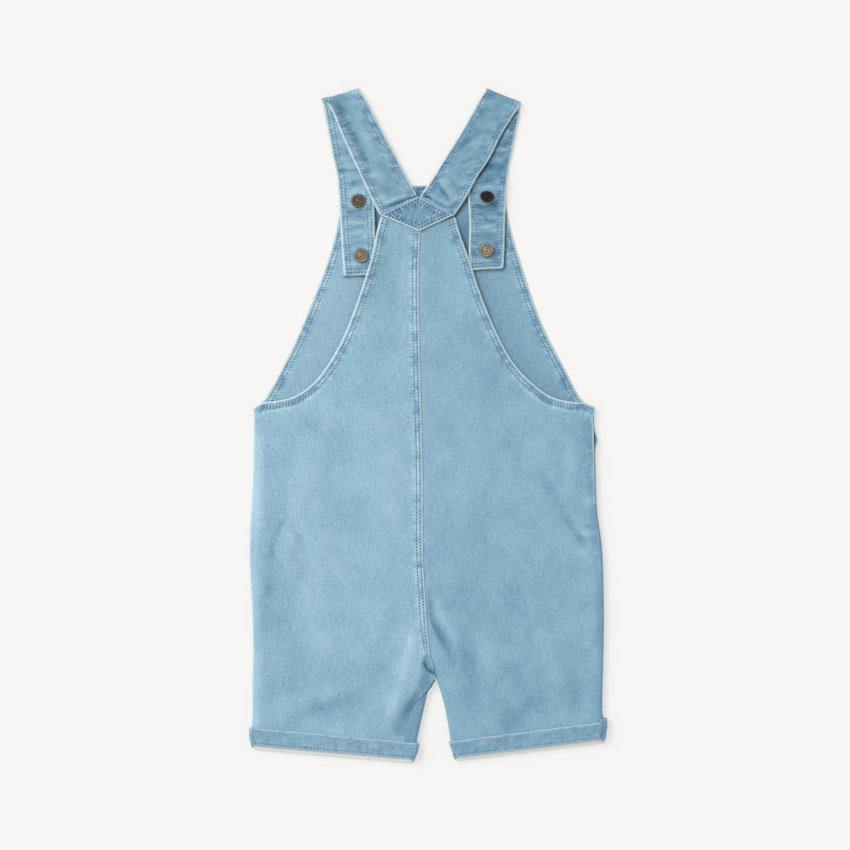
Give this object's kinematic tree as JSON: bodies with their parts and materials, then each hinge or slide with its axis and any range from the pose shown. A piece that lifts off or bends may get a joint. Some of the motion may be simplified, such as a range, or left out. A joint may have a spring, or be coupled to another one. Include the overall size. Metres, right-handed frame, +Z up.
{
  "type": "toddler denim shortalls laid flat",
  "caption": "Light denim shortalls laid flat with the back up: crossing straps, bib, short legs with turned-up cuffs and metal snap caps.",
  "frame": {"origin": "middle of the garment's bounding box, on the surface that it lies on", "axes": "+X to the wearer's right as seen with the back up, +Y from the leg hems to the shoulders, +Z up from the surface through the back"},
  "size_m": [0.2856, 0.54, 0.0076],
  "materials": {
    "denim": "light wash cotton denim, worn pale on the folded edges, blue topstitching",
    "denim_inside": "the same denim, inner face showing in the armholes and neck",
    "thread": "mid blue sewing thread",
    "snap_brass": "antique brass, worn"
  },
  "bodies": {
    "root": {"front_left": "denim_inside", "front_right": "denim_inside", "back_left": "denim", "back_right": "denim", "cuff_left": "denim", "cuff_right": "denim", "strap_left": "denim", "strap_right": "denim", "back_diamond": "denim", "snap_upper_left": "snap_brass", "snap_lower_left": "snap_brass", "snap_upper_right": "snap_brass", "snap_lower_right": "snap_brass"}
  },
  "joints": []
}
